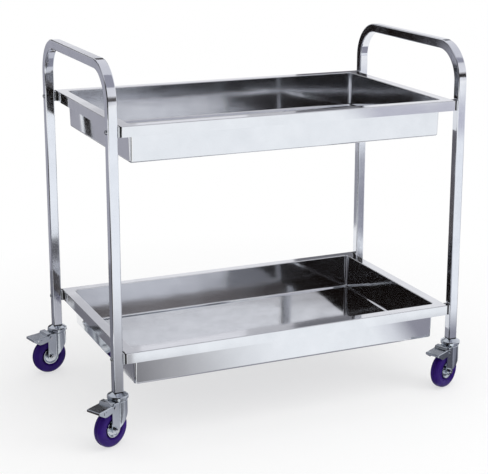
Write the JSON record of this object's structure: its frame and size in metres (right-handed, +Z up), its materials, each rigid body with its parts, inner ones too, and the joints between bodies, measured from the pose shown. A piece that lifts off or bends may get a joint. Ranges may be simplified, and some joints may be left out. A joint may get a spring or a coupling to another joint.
{
  "type": "dish collection trolley",
  "caption": "Stainless steel dish collection trolley with two deep trays, bent tube end frames that form push handles, and braked swivel casters with violet-blue tyres.",
  "frame": {"origin": "on the floor, midway between the four swivel axes", "axes": "+X along the length to the right as seen from the front, -Y to the front, +Z up"},
  "size_m": [1.0754, 0.6305, 0.95],
  "materials": {
    "stainless_tube": "polished stainless steel tube",
    "stainless_sheet": "bright rolled stainless steel sheet",
    "spacer_steel": "satin",
    "black_pad": "matte",
    "bolt_steel": "bright plated",
    "black_plug": "moulded nylon",
    "zinc_steel": "bright zinc plated",
    "ball_steel": "polished",
    "wheel_steel": "bright zinc plated pressing",
    "bush_plastic": "moulded",
    "tyre": "smooth violet-blue elastomer",
    "pedal_steel": "zinc plated pressing",
    "brake_rubber": "matte"
  },
  "bodies": {
    "trolley": {"left_end_frame": "stainless_tube", "right_end_frame": "stainless_tube", "upper_tray": "stainless_sheet", "lower_tray": "stainless_sheet", "spacer_plates": "spacer_steel", "joint_pads": "black_pad", "tray_bolts": "bolt_steel", "rim_nuts": "bolt_steel", "leg_plugs": "black_plug", "caster_stems": "zinc_steel", "swivel_caps": "zinc_steel"},
    "caster_front_left": {"fork_front_left": "zinc_steel", "swivel_balls_front_left": "ball_steel", "axle_sleeve_front_left": "zinc_steel", "axle_bolt_front_left": "bolt_steel", "brake_pivot_front_left": "bolt_steel"},
    "wheel_front_left": {"wheel_rim_front_left": "wheel_steel", "wheel_bush_front_left": "bush_plastic", "tyre_front_left": "tyre"},
    "pedal_front_left": {"brake_pedal_front_left": "pedal_steel", "brake_pad_front_left": "brake_rubber"},
    "caster_front_right": {"fork_front_right": "zinc_steel", "swivel_balls_front_right": "ball_steel", "axle_sleeve_front_right": "zinc_steel", "axle_bolt_front_right": "bolt_steel", "brake_pivot_front_right": "bolt_steel"},
    "wheel_front_right": {"wheel_rim_front_right": "wheel_steel", "wheel_bush_front_right": "bush_plastic", "tyre_front_right": "tyre"},
    "pedal_front_right": {"brake_pedal_front_right": "pedal_steel", "brake_pad_front_right": "brake_rubber"},
    "caster_rear_left": {"fork_rear_left": "zinc_steel", "swivel_balls_rear_left": "ball_steel", "axle_sleeve_rear_left": "zinc_steel", "axle_bolt_rear_left": "bolt_steel", "brake_pivot_rear_left": "bolt_steel"},
    "wheel_rear_left": {"wheel_rim_rear_left": "wheel_steel", "wheel_bush_rear_left": "bush_plastic", "tyre_rear_left": "tyre"},
    "pedal_rear_left": {"brake_pedal_rear_left": "pedal_steel", "brake_pad_rear_left": "brake_rubber"},
    "caster_rear_right": {"fork_rear_right": "zinc_steel", "swivel_balls_rear_right": "ball_steel", "axle_sleeve_rear_right": "zinc_steel", "axle_bolt_rear_right": "bolt_steel", "brake_pivot_rear_right": "bolt_steel"},
    "wheel_rear_right": {"wheel_rim_rear_right": "wheel_steel", "wheel_bush_rear_right": "bush_plastic", "tyre_rear_right": "tyre"},
    "pedal_rear_right": {"brake_pedal_rear_right": "pedal_steel", "brake_pad_rear_right": "brake_rubber"}
  },
  "joints": [
    {"name": "swivel_front_left", "type": "hinge", "parent": "trolley", "child": "caster_front_left", "pos_m": [-0.48, -0.2725, 0.12], "axis": [0, 0, 1], "continuous": true},
    {"name": "roll_front_left", "type": "hinge", "parent": "caster_front_left", "child": "wheel_front_left", "pos_m": [-0.50484, -0.28543, 0.049], "axis": [0.4617, -0.887, 0], "continuous": true},
    {"name": "brake_front_left", "type": "hinge", "parent": "caster_front_left", "child": "pedal_front_left", "pos_m": [-0.50661, -0.28635, 0.105], "axis": [0.4617, -0.887, 0], "range_deg": [0, 12]},
    {"name": "swivel_front_right", "type": "hinge", "parent": "trolley", "child": "caster_front_right", "pos_m": [0.48, -0.2725, 0.12], "axis": [0, 0, 1], "continuous": true},
    {"name": "roll_front_right", "type": "hinge", "parent": "caster_front_right", "child": "wheel_front_right", "pos_m": [0.45442, -0.28389, 0.049], "axis": [0.4067, -0.9135, 0], "continuous": true},
    {"name": "brake_front_right", "type": "hinge", "parent": "caster_front_right", "child": "pedal_front_right", "pos_m": [0.45259, -0.2847, 0.105], "axis": [0.4067, -0.9135, 0], "range_deg": [0, 12]},
    {"name": "swivel_rear_left", "type": "hinge", "parent": "trolley", "child": "caster_rear_left", "pos_m": [-0.48, 0.2725, 0.12], "axis": [0, 0, 1], "continuous": true},
    {"name": "roll_rear_left", "type": "hinge", "parent": "caster_rear_left", "child": "wheel_rear_left", "pos_m": [-0.50734, 0.26644, 0.049], "axis": [0.2164, -0.9763, 0], "continuous": true},
    {"name": "brake_rear_left", "type": "hinge", "parent": "caster_rear_left", "child": "pedal_rear_left", "pos_m": [-0.50929, 0.26601, 0.105], "axis": [0.2164, -0.9763, 0], "range_deg": [0, 12]},
    {"name": "swivel_rear_right", "type": "hinge", "parent": "trolley", "child": "caster_rear_right", "pos_m": [0.48, 0.2725, 0.12], "axis": [0, 0, 1], "continuous": true},
    {"name": "roll_rear_right", "type": "hinge", "parent": "caster_rear_right", "child": "wheel_rear_right", "pos_m": [0.45369, 0.26292, 0.049], "axis": [0.342, -0.9397, 0], "continuous": true},
    {"name": "brake_rear_right", "type": "hinge", "parent": "caster_rear_right", "child": "pedal_rear_right", "pos_m": [0.45181, 0.26224, 0.105], "axis": [0.342, -0.9397, 0], "range_deg": [0, 12]}
  ]
}
